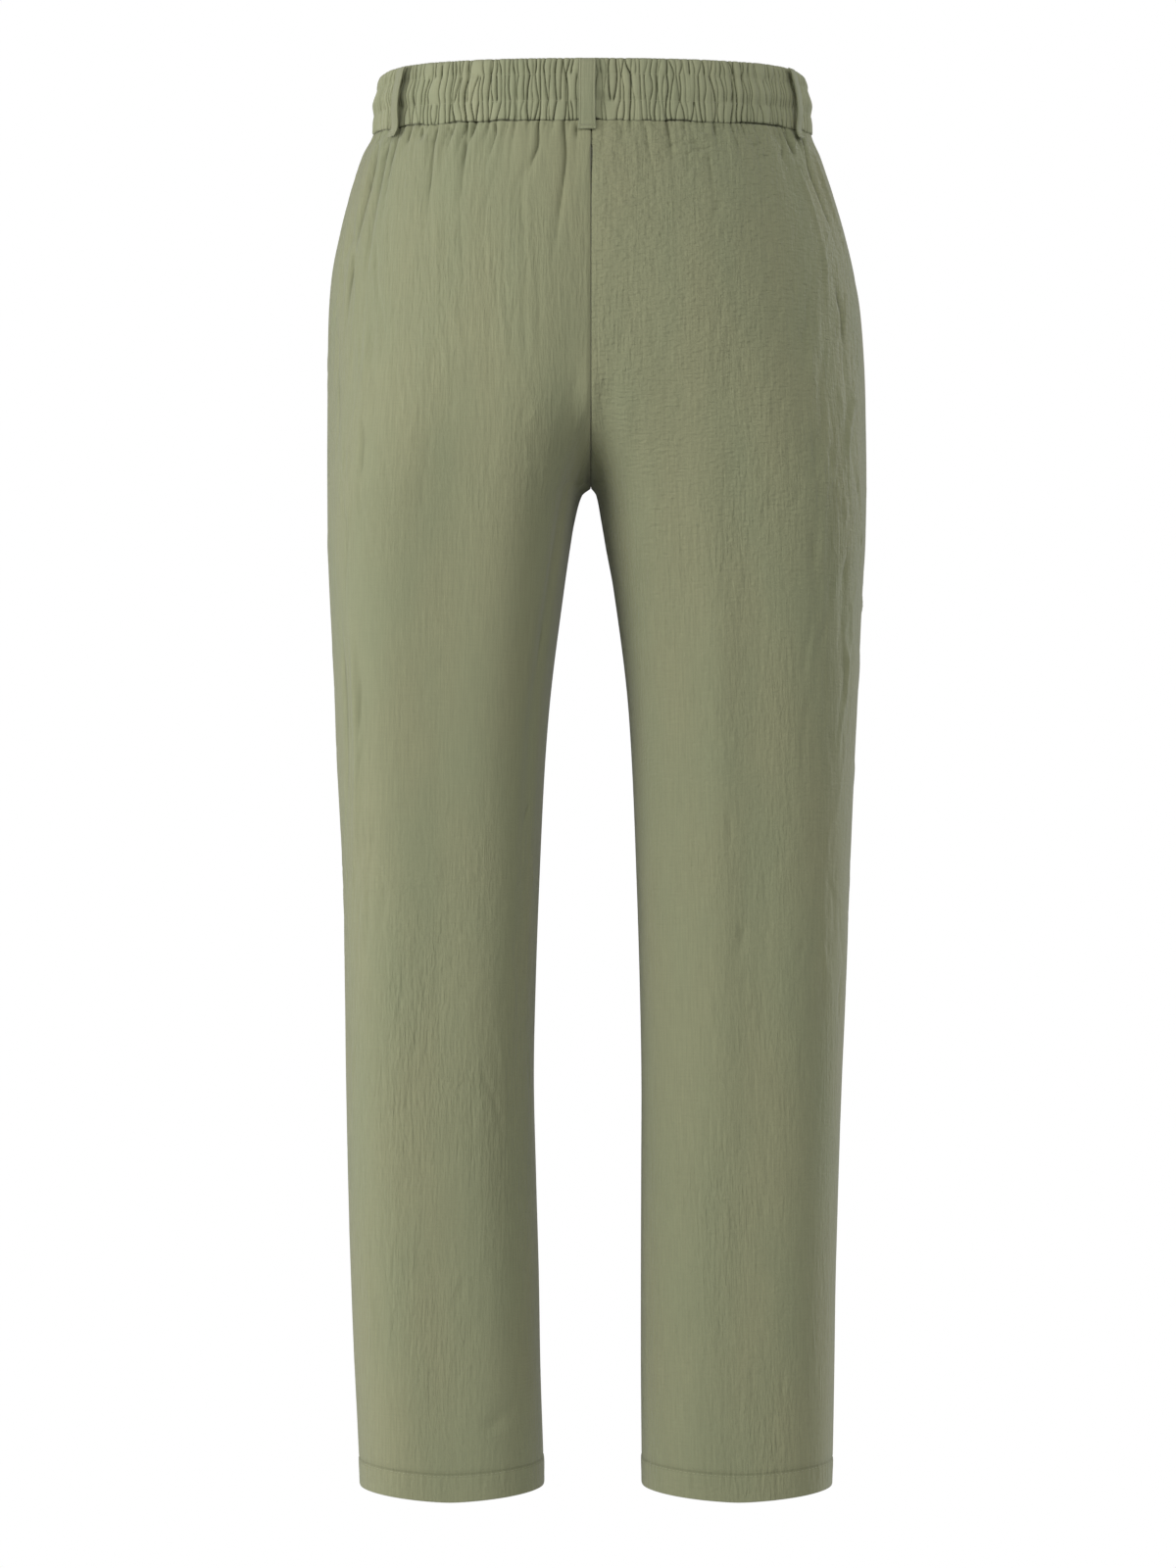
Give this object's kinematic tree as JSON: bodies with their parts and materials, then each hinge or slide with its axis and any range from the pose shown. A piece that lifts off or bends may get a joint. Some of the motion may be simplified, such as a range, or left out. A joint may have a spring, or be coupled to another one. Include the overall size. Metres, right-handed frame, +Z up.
{
  "type": "elastic-waist linen trousers",
  "caption": "Straight-leg linen trousers with a gathered elastic waistband and belt loops, hollow in their worn form.",
  "frame": {"origin": "the middle of the waistband, halfway down its height, where the wearer holds the trousers up", "axes": "+Z up the body, +X to the wearer's left, -Y to the wearer's front"},
  "size_m": [0.3923, 0.2531, 1.0337],
  "materials": {
    "crinkled_linen": "matte sage green crinkled linen, plain woven",
    "gathered_linen": "the same linen, gathered on elastic in three stitched tunnels",
    "loop_linen": "the same linen, folded into a flat edge-stitched strip",
    "eyelet_thread": "matching polyester thread in close buttonhole stitches"
  },
  "bodies": {
    "root": {"back_left": "crinkled_linen", "back_right": "crinkled_linen", "front_left": "crinkled_linen", "front_right": "crinkled_linen", "waistband": "gathered_linen", "loop_centre_back": "loop_linen", "loop_left": "loop_linen", "loop_right": "loop_linen", "loop_front_left": "loop_linen", "loop_front_right": "loop_linen", "eyelet_left": "eyelet_thread", "eyelet_right": "eyelet_thread"}
  },
  "joints": []
}
